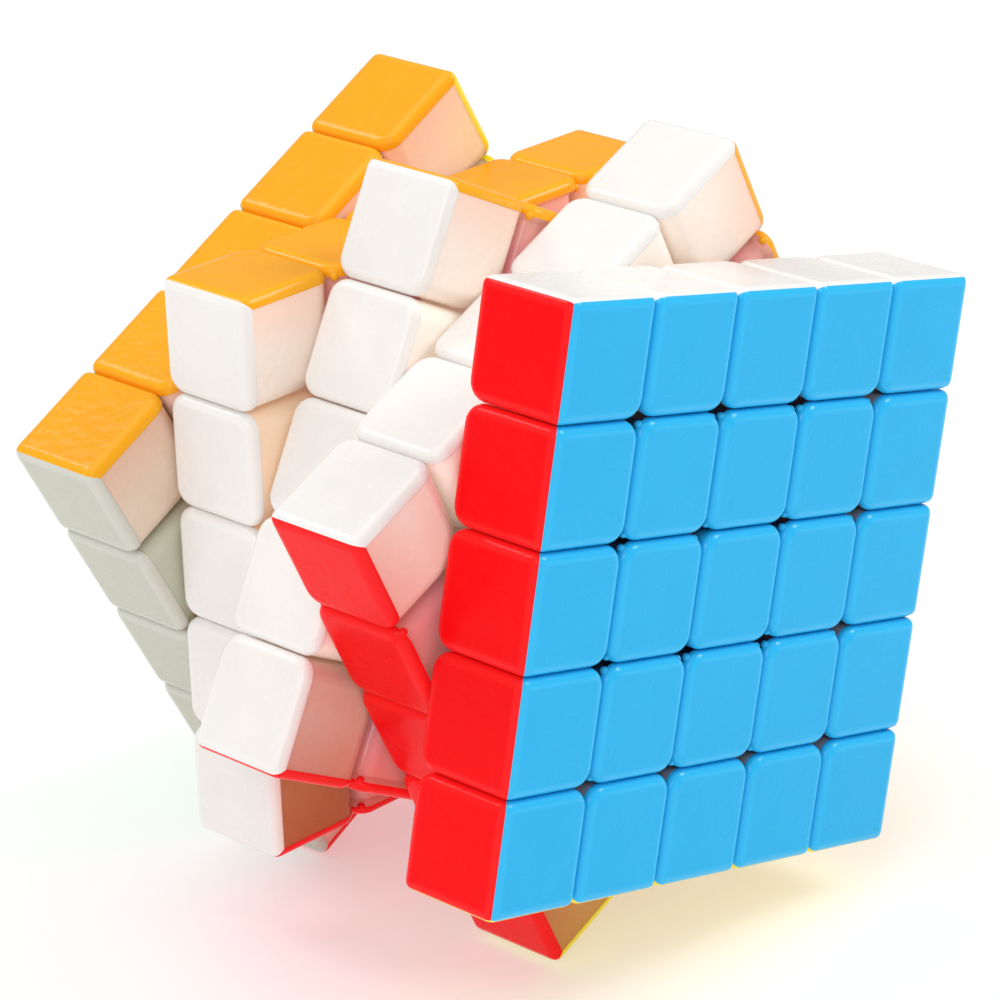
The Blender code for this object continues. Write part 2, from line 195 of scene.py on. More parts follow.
CAP_COLOURS = {
    "white": (0.885, 0.862, 0.832),
    "red": (0.95, 0.003, 0.006),
    "yellow": (0.95, 0.74, 0.01),
    "orange": (0.95, 0.40, 0.008),
    "blue": (0.010, 0.46, 0.85),
    "green": (0.01, 0.50, 0.08),
}
CAP_GRAIN = {  # depth of the leathery grain
    "white": 0.002 * MM,
    "red": 0.045 * MM,
    "yellow": 0.045 * MM,
    "orange": 0.10 * MM,
    "blue": 0.006 * MM,
    "green": 0.006 * MM,
}
RIM_PAINTED_HIGHLIGHTS = {  # painted highlight: the paler colour mixed in on the fillets
    "white": (0.92, 0.90, 0.87),
    "red": (1.0, 0.03, 0.03),
    "yellow": (1.0, 0.86, 0.02),
    "orange": (1.0, 0.46, 0.02),
    "blue": (0.05, 0.56, 0.95),
    "green": (0.04, 0.58, 0.14),
}
RIM_PAINTED_HIGHLIGHT_SHARE = 0.5
BASE_GRAIN = 0.002 * MM
GRAIN_ON_RIMS = 0.12
RIM_START = CELL - 1.25 * RIM  # where a fillet's look begins, and where it is complete
RIM_END = CELL - 0.8 * RIM
RIPPLE_DEPTH = 0.05 * MM
MARKS_DEPTH = 0.01 * MM
# Scales of noise, a metre.
CAP_GRAIN_SCALE = 850.0
BASE_GRAIN_SCALE = 1500.0
RIPPLE_SCALE = 260.0
GLOSS_SCALE = 420.0
CAP_CLOUD_SCALE = 160.0
BASE_CLOUD_SCALE = 110.0
PINK_CLOUD_SCALE = 140.0
MARKS_SCALE = 900.0
FLOOR_CLOUD_SCALE = 3.0
NOISE_LOW = 0.3  # noise seldom goes past these
NOISE_HIGH = 0.7
# Roughness of a surface where it is glossiest, where it is dullest, and on its fillets.
CAP_ROUGHNESS = (0.22, 0.30, 0.14)
BASE_ROUGHNESS = (0.22, 0.32, 0.20)
GLOSSY_ROUGHNESS = (0.08, 0.14, 0.08)
STEEL_GLOSSIEST = 0.22
STEEL_DULLEST = 0.42
FLOOR_ROUGHNESS = 0.9
BASE_SPECULAR = 0.3
PINK_SPECULAR = 0.5
CAP_SPECULAR = {"white": 0.35, "red": 0.08, "yellow": 0.25, "orange": 0.2, "blue": 0.25, "green": 0.25}
# Painted light in each cap's colour on the body close under it, standing in for light through and off the
# caps; the blue and green ones are painted shade.
PAINTED_CAP_LIGHT = {
    "white": (0.95, 0.88, 0.80),
    "red": (0.88, 0.30, 0.24),
    "yellow": (0.98, 0.84, 0.48),
    "orange": (1.0, 0.60, 0.45),
    "blue": (0.07, 0.16, 0.34),
    "green": (0.10, 0.26, 0.12),
}
CREAM = (0.92, 0.88, 0.80)  # body of a white centre
PEACH = (0.98, 0.84, 0.74)  # pale body of an edge, wing or corner, tinted peach by painted light from its caps
NAVY_PAINTED_SHADE = (0.08, 0.15, 0.33)  # body of a blue or green centre, painted dark navy as shade in the holes between the caps
PINK = (0.84, 0.29, 0.35)  # bodies of the other centres, sockets and core
WHITE_PAINTED_SHADE_BESIDE_GREEN = (0.56, 0.57, 0.47)  # painted shade: a darker greenish grey for a white cap on a cubie that also has a green cap
RIM_PAINTED_SHADE_BESIDE_GREEN = (0.74, 0.74, 0.69)  # its fillets: painted shade under a painted highlight
DARK_SHARE = 0.97  # of the full tone, in the darkest patches
PINK_DARK_SHARE = 0.90
# Painted shade: deeper tones on the bodies low in the stack and beside the green side, a factor for each
# channel, by layer and colours.
PAINTED_SHADES = {
    ("second", "red yellow"): (0.60, 0.34, 0.12),
    ("middle", "red white"): (0.74, 0.60, 0.55),
    ("fourth", "red white"): (0.52, 0.28, 0.15),
    ("fourth", "white"): (0.97, 0.80, 0.65),
    ("back", "green white"): (0.60, 0.70, 0.61),
    ("back", "green orange white"): (0.84, 0.77, 0.69),
}
PAINTED_CAP_LIGHT_SHARE = 0.7  # of the painted cap light, under a cap
PAINTED_CAP_LIGHT_START = -0.1 * CELL
PAINTED_CAP_LIGHT_END = 0.9 * CELL
PAINTED_GLOW = (1.0, 0.72, 0.55)  # painted glow: emission standing in for light that comes through the pale plastic of the layers that open up
PAINTED_GLOW_STRENGTH = 0.05
WHITE_PAINTED_GLOW_STRENGTH = 0.12
CAP_AXES = {1: ("Z",), 2: ("Z", "X"), 3: ("X", "Y", "Z")}  # by the number of caps, as in turned_cubie()
STEEL_DARK = (0.50, 0.51, 0.53)
STEEL_LIGHT = (0.68, 0.69, 0.70)
FLOOR_DARK = (0.63, 0.63, 0.63)
FLOOR_LIGHT = (0.66, 0.66, 0.66)
FLOOR_GLOW = 0.40
FLOOR_SIZE = 8.0

# The studio: each light's place, size in metres and power in watts.
LIGHTS = {
    "key": ((0.75, -0.54, 0.77), 0.5, 6.0),
    "overhead": ((-0.1, 0.15, 1.1), 0.9, 4.0),
    "left": ((-0.94, -0.44, 0.70), 0.8, 5.4),
    "back": ((-0.3, 0.8, 0.85), 0.35, 2.5),
}
WORLD_STRENGTH = 0.38
CAMERA_AT = (-0.30283, -0.29325, 0.17473)
CAMERA_LOOK = (0.66198, 0.6460, -0.38005)
CAMERA_UP = (0.29319, 0.2435, 0.92454)
CAMERA_LENS = 155.2  # mm

STACK = Matrix.Rotation(math.pi / 2, 4, "X")  # stands the stack frame up


# Meshes.


def object_from(shape, name, materials):
    """An object with the bmesh's faces, shaded smooth but for its sharp edges."""
    bmesh.ops.recalc_face_normals(shape, faces=shape.faces)
    mesh = bpy.data.meshes.new(name)
    shape.to_mesh(mesh)
    shape.free()
    for made in materials:
        mesh.materials.append(made)
    mesh.shade_smooth()
    mesh.set_sharp_from_angle(angle=CREASE)
    made = bpy.data.objects.new(name, mesh)
    bpy.context.scene.collection.objects.link(made)
    weighted = made.modifiers.new("weighted_normals", "WEIGHTED_NORMAL")
    weighted.keep_sharp = True
    weighted.weight = 100  # the largest faces decide
    return made


def loft(rings):
    """A closed shape through rings of equally many points, with flat ends."""
    shape = bmesh.new()
    made = [[shape.verts.new(point) for point in ring] for ring in rings]
    for near, far in zip(made, made[1:]):
        for i in range(len(near)):
            j = (i + 1) % len(near)
            shape.faces.new((near[i], near[j], far[j], far[i]))
    shape.faces.new(made[0])
    shape.faces.new(made[-1])
    bmesh.ops.remove_doubles(shape, verts=shape.verts, dist=MERGE)
    bmesh.ops.recalc_face_normals(shape, faces=shape.faces)
    return shape


def turned(profile, steps=TURN_STEPS):
    """A closed turned shape about z. Its profile of (radius, height) points starts and ends on the axis."""
    shape = bmesh.new()
    rows = []
    for radius, height in profile:
        count = steps if radius > 0 else 1
        ring = []
        for i in range(count):
            angle = 2 * math.pi * i / steps
            ring.append(shape.verts.new((radius * math.cos(angle), radius * math.sin(angle), height)))
        rows.append(ring)
    for near, far in zip(rows, rows[1:]):
        for i in range(steps):
            j = (i + 1) % steps
            corners = [near[i % len(near)], near[j % len(near)], far[j % len(far)], far[i % len(far)]]
            shape.faces.new(list(dict.fromkeys(corners)))
    bmesh.ops.recalc_face_normals(shape, faces=shape.faces)
    return shape


def quarter_turns():
    """Angles from 0 to 90 degrees, for the rings of a fillet."""
    return [math.pi / 2 * i / ARC_STEPS for i in range(ARC_STEPS + 1)]


def square_ring(half, radius, height):
    """Points round a square with rounded corners, anticlockwise."""
    inner = half - radius
    ring = []
    for quarter, (u, v) in enumerate(((inner, inner), (-inner, inner), (-inner, -inner), (inner, -inner))):
        for i in range(ARC_STEPS + 1):
            angle = (quarter + i / ARC_STEPS) * math.pi / 2
            ring.append((u + radius * math.cos(angle), v + radius * math.sin(angle), height))
    return ring


def centre_shape(bottom, fillet):
    """A cubie with one outer face, +z: rounded corners, a filleted rim and a rounded inner end."""
    half = CELL - CLEAR
    rings = []
    for angle in quarter_turns():
        inset = RIM * (1 - math.sin(angle))
        rings.append(square_ring(half - inset, PLAN - inset, CELL - RIM * (1 - math.cos(angle))))
    for angle in quarter_turns():
        inset = fillet * (1 - math.cos(angle))
        corner = PLAN - inset
        if fillet > PLAN:
            corner = min(half - inset, PLAN + (fillet - PLAN) * math.sin(angle) / 2)
        rings.append(square_ring(half - inset, corner, bottom + fillet * (1 - math.sin(angle))))
    return loft(rings)


def bevel(shape, radius, segments, wanted):
    """Rounds the edges for which wanted holds of the two faces that meet there."""
    shape.normal_update()
    edges = [edge for edge in shape.edges if edge.calc_face_angle() > SHARP and wanted(*edge.link_faces)]
    bmesh.ops.bevel(shape, geom=edges, offset=radius, segments=segments, profile=0.5, affect="EDGES")


def boxed(outer):
    """A cubie with an outer face on the positive side of each of the outer axes."""
    shape = bmesh.new()
    bmesh.ops.create_cube(shape, size=2)
    for vert in shape.verts:
        for axis in range(3):
            is_outer = axis in outer and vert.co[axis] > 0
            vert.co[axis] *= CELL if is_outer else CELL - CLEAR

    def faces_out(face):
        return any(face.normal[axis] > FACES_OUT for axis in outer)

    def faces_in(face):
        return any(face.normal[axis] < FACES_IN for axis in outer)

    if len(outer) == 2:
        bevel(shape, ROOT, ROOT_STEPS, lambda *faces: all(faces_in(face) for face in faces))
    bevel(shape, PLAN, PLAN_STEPS, lambda *faces: not any(faces_out(face) for face in faces))
    bevel(shape, RIM, RIM_STEPS, lambda *faces: any(faces_out(face) for face in faces))
    return shape


def split(shape, at, normal):
    """Cuts the faces in two along a plane, and keeps both parts."""
    parts = shape.verts[:] + shape.edges[:] + shape.faces[:]
    bmesh.ops.bisect_plane(shape, geom=parts, plane_co=at, plane_no=normal, dist=ON_PLANE)


def coloured(shape, outer, base_share):
    """Splits the shape into a coloured cap for each outer axis and a narrower base under them. Material 0 is
    the base, and 1, 2 and so on are the caps, in the order of outer."""
    for axis in outer:
        way = Vector([float(i == axis) for i in range(3)])
        for depth in (SKIRT, SKIRT + STEP):
            split(shape, way * (CELL - depth), way)
    for first, second in itertools.combinations(sorted(outer), 2):
        across = Vector([float(i == first) - float(i == second) for i in range(3)])
        split(shape, Vector(), across)
    for vert in shape.verts:
        if CELL - max(vert.co[axis] for axis in outer) > SKIRT + STEP / 2:
            vert.co *= base_share
    for face in shape.faces:
        middle = face.calc_center_median()
        nearest = max(outer, key=lambda axis: middle[axis])
        is_cap = middle[nearest] > CELL - SKIRT
        face.material_index = 1 + outer.index(nearest) if is_cap else 0


def add_tabs(shape):
    """Small round clip tabs under the four corners of a centre's cap, in the cap's colour."""
    middle = CELL - TAB_DEPTH - TAB_R
    upper = [(TAB_R * math.sin(angle), middle + TAB_R * math.cos(angle)) for angle in quarter_turns()[1:]]
    lower = [(radius, 2 * middle - height) for radius, height in reversed(upper[:-1])]
    profile = [(0, middle + TAB_R)] + upper + lower + [(0, middle - TAB_R)]
    for u in (-TAB_REACH, TAB_REACH):
        for v in (-TAB_REACH, TAB_REACH):
            before = len(shape.faces)
            add_to(shape, turned(profile, TAB_STEPS), Matrix.Translation((u, v, 0)))
            shape.faces.ensure_lookup_table()
            for face in shape.faces[before:]:
                face.material_index = 1


def sector(profile, middle, width):
    """A slice of a turned shape about w: a closed profile of (radius, height) points, swept by an angle."""
    steps = max(2, round(width / SWEEP_STEP))
    rings = []
    for i in range(steps + 1):
        angle = middle - width / 2 + width * i / steps
        rings.append([(r * math.cos(angle), r * math.sin(angle), w) for r, w in profile])
    return loft(rings)


def stalk(start, end, wide, narrow):
    """A tapering stalk between two points."""
    turn = (end - start).to_track_quat("Z", "Y").to_matrix()
    rings = []
    for at, half in ((start, wide), (end, narrow)):
        ring = square_ring(half, half * STALK_CORNER_SHARE, 0)
        rings.append([at + turn @ Vector(point) for point in ring])
    return loft(rings)


def add_to(shape, other, matrix):
    """Adds the other bmesh's faces to the first, in material 0."""
    scratch = bpy.data.meshes.new("scratch")
    bmesh.ops.transform(other, matrix=matrix, verts=other.verts)
    other.to_mesh(scratch)
    other.free()
    shape.from_mesh(scratch)
    bpy.data.meshes.remove(scratch)


def combine(made, operation, *tools):
    """Applies Boolean steps to an object's mesh and removes the tools."""
    weighted = made.modifiers["weighted_normals"]
    for tool in tools:
        step = made.modifiers.new("step", "BOOLEAN")
        step.operation = operation
        step.object = tool
        weighted.show_viewport = False
        bpy.context.view_layer.update()
        graph = bpy.context.evaluated_depsgraph_get()
        mesh = bpy.data.meshes.new_from_object(made.evaluated_get(graph))
        made.modifiers.remove(step)
        weighted.show_viewport = True
        made.data = mesh
        bpy.data.objects.remove(tool)
    made.data.shade_smooth()
    made.data.set_sharp_from_angle(angle=CREASE)
    return made


def arc(radius, start, end):
    """Profile points on a sphere about the core; the angles are measured from the stack's axis."""
    angles = [start + (end - start) * i / ARC_STEPS for i in range(ARC_STEPS + 1)]
    return [(radius * math.sin(angle), radius * math.cos(angle)) for angle in angles]


def outer_foot():
    """Profile of the foot that holds an outer layer's centres to the next layer."""
    top = HALF - PITCH + OVERLAP
    points = [(FOOT_HOLE_R, top), (NECK_R, top)]
    points += arc(FOOT_OUTER_R, math.asin(NECK_R / FOOT_OUTER_R), FOOT_REACH)
    return points + arc(FOOT_INNER_R, FOOT_REACH, math.asin(FOOT_HOLE_R / FOOT_INNER_R))


def second_foot():
    """Profile of the lip that closes over the outer foot, and of the foot under it."""
    bore_r = NECK_R + TURNING_CLEAR
    ball = FOOT_OUTER_R + TURNING_CLEAR
    low = FOOT_INNER_R / 2
    top = HALF - PITCH - TURNING_CLEAR
    step = PITCH / 2 + TURNING_CLEAR
    points = [(LIP_R, top), (bore_r, top)] + arc(ball, math.asin(bore_r / ball), math.acos(low / ball))
    points += [(points[-1][0], SECOND_FOOT_ROOT), (SECOND_FOOT_INNER_R, SECOND_FOOT_ROOT)]
    points += [(SECOND_FOOT_INNER_R, SECOND_FOOT_LOW), (SECOND_FOOT_R, SECOND_FOOT_LOW)]
    points += [(SECOND_FOOT_R, SECOND_FOOT_TOP), (SECOND_NECK_R, SECOND_FOOT_TOP)]
    return points + [(SECOND_NECK_R, step), (LIP_R, step)]


def middle_lip():
    """Profile of the middle layer's lips over the feet on both sides."""
    lip_r = SECOND_NECK_R + TURNING_CLEAR
    lip_w = SECOND_FOOT_TOP + TURNING_CLEAR
    recess = SECOND_FOOT_R + TURNING_CLEAR
    side = PITCH / 2 - TURNING_CLEAR
    outside = recess + LIP_WALL
    return [
        (outside, side), (lip_r, side), (lip_r, lip_w), (recess, lip_w),
        (recess, -lip_w), (lip_r, -lip_w), (lip_r, -side), (outside, -side),
    ]


def outer_cubie_foot(column, row):
    """The slice of foot and the stalk of a centre in an outer layer."""
    angle = math.atan2(row, column)
    inner_end = HALF - PITCH
    start = Vector((column * PITCH, row * PITCH, inner_end + OUTER_STALK_START))
    end = Vector((math.cos(angle), math.sin(angle), 0)) * OUTER_STALK_REACH
    end.z = inner_end + OUTER_STALK_END
    return [
        sector(outer_foot(), angle, math.pi / 4 - SLICE_GAP),
        stalk(start, end, OUTER_STALK_WIDE, OUTER_STALK_NARROW),
    ]


def slice_of(column, row, is_middle_layer):
    """The middle angle and the width of the slice of foot of a cubie in an inner layer."""
    angle = math.atan2(row, column)
    if not is_middle_layer:
        return round(angle / BAR_SLICE) * BAR_SLICE, BAR_SLICE
    if abs(column) == abs(row):
        return angle, CORNER_SLICE
    corner = math.atan2(math.copysign(1, row), math.copysign(1, column))
    return corner + math.copysign(MIDDLE_SLICE_OFFSET, math.sin(angle - corner)), MIDDLE_SLICE


def inner_cubie_foot(column, row, layer):
    """The slice of foot and the stalk of a cubie in an inner layer."""
    middle, width = slice_of(column, row, layer == 0)
    height = abs(layer) * PITCH
    inwards = CELL * (1 if abs(column) == abs(row) else WING_STALK_SHARE)
    start = Vector((column * PITCH, row * PITCH, 0)) - Vector((column, row, 0)).normalized() * inwards
    start.z = height
    end = Vector((math.cos(middle), math.sin(middle), 0)) * (LIP_R - LIP_WALL)
    end.z = height
    return [
        sector(second_foot() if layer else middle_lip(), middle, width - SLICE_GAP),
        stalk(start, end, INNER_STALK_WIDE, INNER_STALK_NARROW),
    ]


def foot_of(cell):
    """What holds a cubie in its layer, in the unturned layer's frame. Corners and edges of the outer layers
    have nothing of their own here."""
    column, row, layer = cell
    if abs(layer) < OUTER:
        shapes = inner_cubie_foot(column, row, layer)
    elif max(abs(column), abs(row)) < OUTER:
        shapes = outer_cubie_foot(column, row)
    else:
        shapes = []
    if layer < 0:
        for shape in shapes:
            bmesh.ops.scale(shape, vec=(1, 1, -1), verts=shape.verts)
            bmesh.ops.reverse_faces(shape, faces=shape.faces)
    return shapes


# Materials.


class Nodes:
    """Short calls for building a material's node tree."""

    def __init__(self, name):
        self.material = bpy.data.materials.new(name)
        self.material.use_nodes = True
        self.tree = self.material.node_tree
        self.shader = self.tree.nodes["Principled BSDF"]
        self.position = self.add("ShaderNodeTexCoord").outputs["Object"]

    def add(self, kind, **values):
        made = self.tree.nodes.new(kind)
        for key, value in values.items():
            setattr(made, key, value)
        return made

    def link(self, source, target):
        self.tree.links.new(source, target)

    def noise(self, scale, detail=1.0, roughness=0.5):
        made = self.add("ShaderNodeTexNoise")
        self.link(self.position, made.inputs["Vector"])
        made.inputs["Scale"].default_value = scale
        made.inputs["Detail"].default_value = detail
        made.inputs["Roughness"].default_value = roughness
        return made.outputs["Fac"]

    def spread(self, value, low, high, out_low=0.0, out_high=1.0):
        made = self.add("ShaderNodeMapRange")
        self.link(value, made.inputs["Value"])
        numbers = {"From Min": low, "From Max": high, "To Min": out_low, "To Max": out_high}
        for key, number in numbers.items():
            made.inputs[key].default_value = number
        return made.outputs["Result"]

    def cloud(self, scale, low=0.0, high=1.0, detail=1.0):
        """Soft noise that goes all the way from low to high."""
        return self.spread(self.noise(scale, detail), NOISE_LOW, NOISE_HIGH, low, high)

    def math(self, operation, first, second):
        made = self.add("ShaderNodeMath", operation=operation)
        self.link(first, made.inputs[0])
        self.link(second, made.inputs[1])
        return made.outputs[0]

    def mix(self, share, first, second):
        """A colour between two, each of them a socket or a plain value. The node's colours are its inputs 6
        and 7."""
        made = self.add("ShaderNodeMix", data_type="RGBA")
        for socket, value in ((made.inputs[0], share), (made.inputs[6], first), (made.inputs[7], second)):
            if isinstance(value, bpy.types.NodeSocket):
                self.link(value, socket)
            else:
                socket.default_value = (*value, 1)
        return made.outputs[2]

    def bump(self, height, distance, below=None):
        made = self.add("ShaderNodeBump")
        made.inputs["Distance"].default_value = distance
        made.inputs["Strength"].default_value = 1.0
        self.link(height, made.inputs["Height"])
        if below:
            self.link(below, made.inputs["Normal"])
        return made.outputs["Normal"]

    def set(self, **values):
        for key, value in values.items():
            self.shader.inputs[key.replace("_", " ")].default_value = value


def rim_share(nodes):
    """1 on a cubie's fillets and 0 on its flat faces, where only one coordinate is near the cell's side."""
    size = nodes.add("ShaderNodeVectorMath", operation="ABSOLUTE")
    nodes.link(nodes.position, size.inputs[0])
    axes = nodes.add("ShaderNodeSeparateXYZ")
    nodes.link(size.outputs[0], axes.inputs[0])
    x, y, z = axes.outputs
    lower, higher = nodes.math("MINIMUM", x, y), nodes.math("MAXIMUM", x, y)
    second = nodes.math("MAXIMUM", lower, nodes.math("MINIMUM", higher, z))
    return nodes.spread(second, RIM_START, RIM_END)


def moulded_surface(nodes, base, grain_scale, grain_depth, roughness):
    """The leathery grain of moulded plastic on flat faces, with uneven gloss, and smooth shiny fillets."""
    rim = rim_share(nodes)
    glossiest, dullest, on_rims = roughness
    flat = nodes.spread(rim, 0.0, 1.0, 1.0, GRAIN_ON_RIMS)
    grain = nodes.math("MULTIPLY", nodes.noise(grain_scale), flat)
    normal = nodes.bump(nodes.noise(RIPPLE_SCALE), RIPPLE_DEPTH)
    normal = nodes.bump(grain, grain_depth, normal)
    nodes.link(normal, nodes.shader.inputs["Normal"])
    gloss = nodes.add("ShaderNodeMix", data_type="FLOAT")  # its numbers are its inputs 2 and 3
    nodes.link(rim, gloss.inputs[0])
    nodes.link(nodes.cloud(GLOSS_SCALE, glossiest, dullest), gloss.inputs[2])
    gloss.inputs[3].default_value = on_rims
    nodes.link(gloss.outputs[0], nodes.shader.inputs["Roughness"])
    nodes.link(base, nodes.shader.inputs["Base Color"])


def darker(colour, share=DARK_SHARE):
    return tuple(value * share for value in colour)


def shaded(colour, shade):
    return tuple(value * factor for value, factor in zip(colour, shade))


def cap_material(colour, gets_green_shade):
    """Coloured cap: its colour is slightly uneven, as in dyed plastic, with a painted highlight on the
    fillets. A white cap on a cubie that also has a green one is painted a darker greenish grey: painted
    shade."""
    nodes = Nodes("cap_" + colour + ("_painted_green_shade" if gets_green_shade else ""))
    # painted shade: a white cap beside a green one is darker and greenish
    tone = WHITE_PAINTED_SHADE_BESIDE_GREEN if gets_green_shade else CAP_COLOURS[colour]
    base = nodes.mix(nodes.cloud(CAP_CLOUD_SCALE), darker(tone), tone)
    # painted highlight: the fillets are mixed towards a paler colour
    paler = nodes.spread(rim_share(nodes), 0.0, 1.0, 0.0, RIM_PAINTED_HIGHLIGHT_SHARE)
    base = nodes.mix(paler, base, RIM_PAINTED_SHADE_BESIDE_GREEN if gets_green_shade else RIM_PAINTED_HIGHLIGHTS[colour])
    moulded_surface(nodes, base, CAP_GRAIN_SCALE, CAP_GRAIN[colour], CAP_ROUGHNESS)
    nodes.set(Specular_IOR_Level=CAP_SPECULAR[colour])
    return nodes.material


def painted_shade_key(colours, layer_name):
    return layer_name, " ".join(sorted(colours))


def base_material(colours, layer_name):
    """The pale body under a cubie's caps. Painted light in the caps' colours lies on it, strongest close
    under a cap, with painted shade under blue and green caps and, for some layers and colours, over the
    whole body. Bodies without blue or green get a painted glow.
    """
    nodes = Nodes("_".join(("base", *colours, layer_name)))
    # painted shade by layer and colours, on the body, its painted cap light and its painted glow
    shade = PAINTED_SHADES.get(painted_shade_key(colours, layer_name), (1, 1, 1))
    if len(colours) > 1:
        tone = PEACH
    elif colours[0] == "white":
        tone = CREAM
    else:
        tone = NAVY_PAINTED_SHADE if colours[0] in ("blue", "green") else PINK
    split_axes = nodes.add("ShaderNodeSeparateXYZ")
    nodes.link(nodes.position, split_axes.inputs[0])
    body = shaded(tone, shade)
    base = nodes.mix(nodes.cloud(BASE_CLOUD_SCALE), darker(body), body)
    # painted light from each cap, strongest close under it
    for colour, axis in zip(colours, CAP_AXES[len(colours)]):
        near = nodes.spread(split_axes.outputs[axis], PAINTED_CAP_LIGHT_START, PAINTED_CAP_LIGHT_END, 0.0, PAINTED_CAP_LIGHT_SHARE)
        base = nodes.mix(near, base, shaded(PAINTED_CAP_LIGHT[colour], shade))
    is_pink = tone == PINK
    roughness = GLOSSY_ROUGHNESS if is_pink else BASE_ROUGHNESS
    moulded_surface(nodes, base, BASE_GRAIN_SCALE, BASE_GRAIN, roughness)
    nodes.set(Specular_IOR_Level=PINK_SPECULAR if is_pink else BASE_SPECULAR)
    # painted glow: pale bodies emit a little warm light, standing in for light through the plastic
    if not {"blue", "green"} & set(colours):
        strength = WHITE_PAINTED_GLOW_STRENGTH if colours == ("white",) else PAINTED_GLOW_STRENGTH
        nodes.set(Emission_Color=(*shaded(PAINTED_GLOW, shade), 1), Emission_Strength=strength)
    return nodes.material


def pink_material():
    """Glossy translucent pink of the fixed centres and the core."""
    nodes = Nodes("pink_plastic")
    base = nodes.mix(nodes.cloud(PINK_CLOUD_SCALE, detail=2.0), darker(PINK, PINK_DARK_SHARE), PINK)
    moulded_surface(nodes, base, BASE_GRAIN_SCALE, BASE_GRAIN, GLOSSY_ROUGHNESS)
    nodes.set(Specular_IOR_Level=PINK_SPECULAR)
    return nodes.material


def steel_material():
    """Zinc-plated steel, with fine mottling and tool marks."""
    nodes = Nodes("zinc_steel")
    marks = nodes.noise(MARKS_SCALE, detail=4.0, roughness=0.7)
    base = nodes.mix(nodes.spread(marks, NOISE_LOW, NOISE_HIGH), STEEL_DARK, STEEL_LIGHT)
    roughness = nodes.spread(marks, NOISE_LOW, NOISE_HIGH, STEEL_GLOSSIEST, STEEL_DULLEST)
    nodes.link(base, nodes.shader.inputs["Base Color"])
    nodes.link(roughness, nodes.shader.inputs["Roughness"])
    nodes.link(nodes.bump(marks, MARKS_DEPTH), nodes.shader.inputs["Normal"])
    nodes.set(Metallic=1.0)
    return nodes.material


def floor_material():
    nodes = Nodes("floor")
    base = nodes.mix(nodes.cloud(FLOOR_CLOUD_SCALE, detail=2.0), FLOOR_DARK, FLOOR_LIGHT)
    nodes.link(base, nodes.shader.inputs["Base Color"])
    nodes.set(Roughness=FLOOR_ROUGHNESS, Specular_IOR_Level=0.0)
    nodes.set(Emission_Color=(1, 1, 1, 1), Emission_Strength=FLOOR_GLOW)
    return nodes.material


made_materials = {}


def material(build, *key):
    """Each material once."""
    if (build, key) not in made_materials:
        made_materials[build, key] = build(*key)
    return made_materials[build, key]


# Placing.


def layer_turn(node):
    """How far a layer is turned about w, from the angle of its furthest point, between white and red."""
    far = max(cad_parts[node].data.vertices, key=lambda vert: Vector((vert.co.x, vert.co.z)).length)
    return math.atan2(far.co.z, far.co.x) - WHITE_RED_ANGLE


def outer_ways(cell):
    """The directions in which a cell has outer faces."""
    ways = []
    for axis in range(3):
        if abs(cell[axis]) == OUTER:
            ways.append(tuple(int(math.copysign(1, cell[axis])) if i == axis else 0 for i in range(3)))
    return ways


def turned_cubie(cell):
    """The colours of a cubie's caps, and its place in its unturned layer."""
    ways = outer_ways(cell)
    order = list(CAP_COLOURS)
    ways.sort(key=lambda way: order.index(COLOUR_OF_WAY[way]))
    first = Vector(ways[0])
    if len(ways) == 1:
        side = Vector((first.y, first.z, first.x))
        columns = (side, first.cross(side), first)
    elif len(ways) == 2:
        second = Vector(ways[1])
        columns = (second, first.cross(second), first)
    else:
        if first.cross(Vector(ways[1])).dot(Vector(ways[2])) < 0:
            ways[1], ways[2] = ways[2], ways[1]
        columns = tuple(Vector(way) for way in ways)
    turn = Matrix(columns).transposed().to_4x4()
    place = Matrix.Translation(Vector(cell) * PITCH) @ turn
    return tuple(COLOUR_OF_WAY[way] for way in ways), place


def cad_node(cell):
    """The CAD node that holds a cubie."""
    column, row, layer = cell
    sides = [COLOUR_OF_WAY[way] for way in outer_ways((column, row, 0))]
    if len(sides) == 2:
        sides.sort(key=SIDES.index)
        if sides == ["white", "orange"]:
            sides.reverse()
    if abs(layer) == OUTER:
        face = "blue" if layer > 0 else "green"
        if not sides:
            return face + "_centre_ring"
        if len(sides) == 1:
            return f"{face}_edge_{sides[0]}"
        return f"{face}_corner_" + "_".join(sides if layer > 0 else sides[::-1])
    if layer == 0:
        return f"middle_edge_{sides[0]}_{sides[1]}" if len(sides) == 2 else "middle_pair_" + sides[0]
    return ("second_bar_" if layer > 0 else "fourth_bar_") + sides[0 if layer > 0 else -1]


def piece_name(cell, layer_name):
    """A name by kind and place, such as front_wing_b1: columns a to e and rows 1 to 5 from the top left."""
    kind = {1: "centre", 2: "wing", 3: "corner"}[len(outer_ways(cell))]
    if kind == "wing" and 0 in cell:
        kind = "edge"
    return f"{layer_name}_{kind}_{'abcde'[cell[0] + OUTER]}{OUTER + 1 - cell[1]}"


